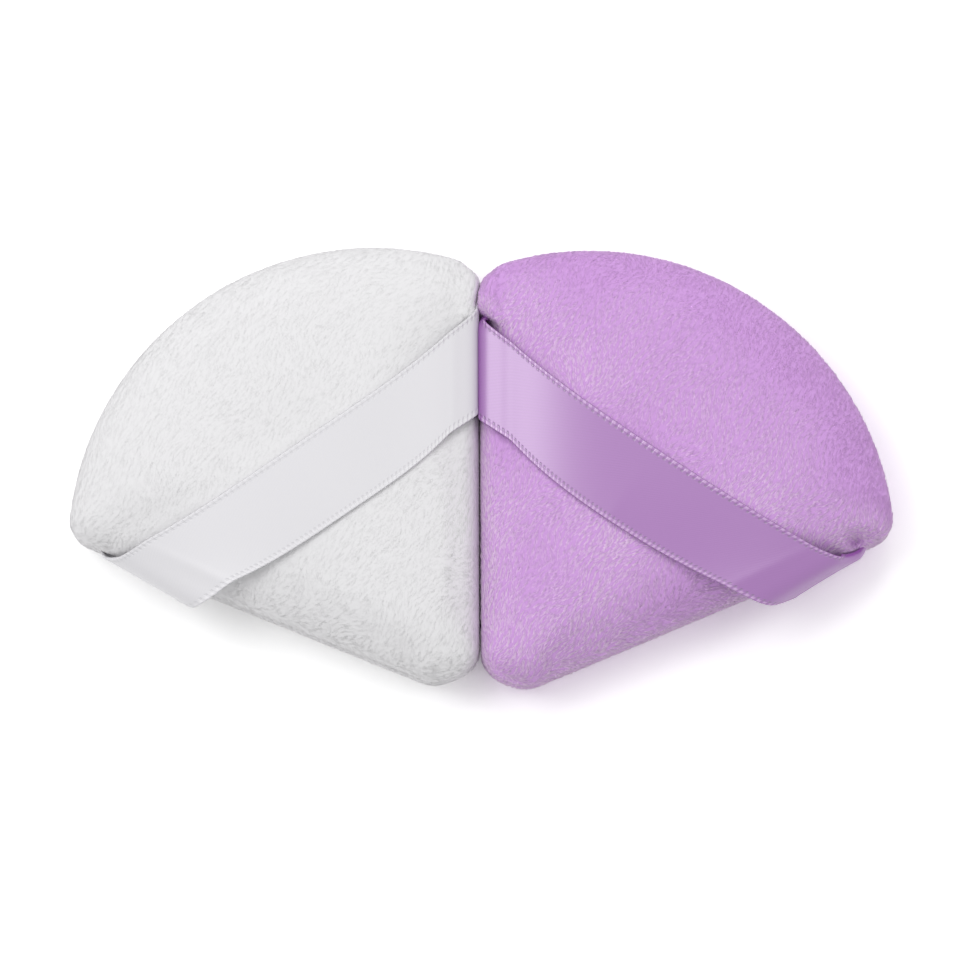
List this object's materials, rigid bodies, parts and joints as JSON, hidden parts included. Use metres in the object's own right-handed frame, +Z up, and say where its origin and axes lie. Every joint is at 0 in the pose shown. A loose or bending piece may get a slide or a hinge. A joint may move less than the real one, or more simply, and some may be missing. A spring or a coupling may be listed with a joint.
{
  "type": "powder puff pair",
  "caption": "White and lavender fan-shaped velour powder puffs with foam cores, sewn rims and satin ribbon finger straps, lying side by side.",
  "frame": {"origin": "on the surface that the puffs lie on, under the middle of the pair's box", "axes": "+X across the pair from the white puff to the lavender one, +Y from the round points towards the broad arcs, +Z up"},
  "size_m": [0.1244, 0.0676, 0.0179],
  "materials": {
    "lavender_velour": "short brushed velour pile",
    "white_velour": "short brushed velour pile",
    "lavender_satin": "satin weave with woven edges",
    "white_satin": "satin weave with woven edges",
    "lavender_thread": "sewing thread",
    "white_thread": "sewing thread",
    "foam": "open-cell polyurethane foam"
  },
  "bodies": {
    "root": {"lavender_bottom_panel": "lavender_velour", "lavender_foam_core": "foam", "lavender_top_panel": "lavender_velour", "lavender_ribbon_strap": "lavender_satin", "lavender_seam_thread": "lavender_thread", "white_bottom_panel": "white_velour", "white_foam_core": "foam", "white_top_panel": "white_velour", "white_ribbon_strap": "white_satin", "white_seam_thread": "white_thread"}
  },
  "joints": []
}
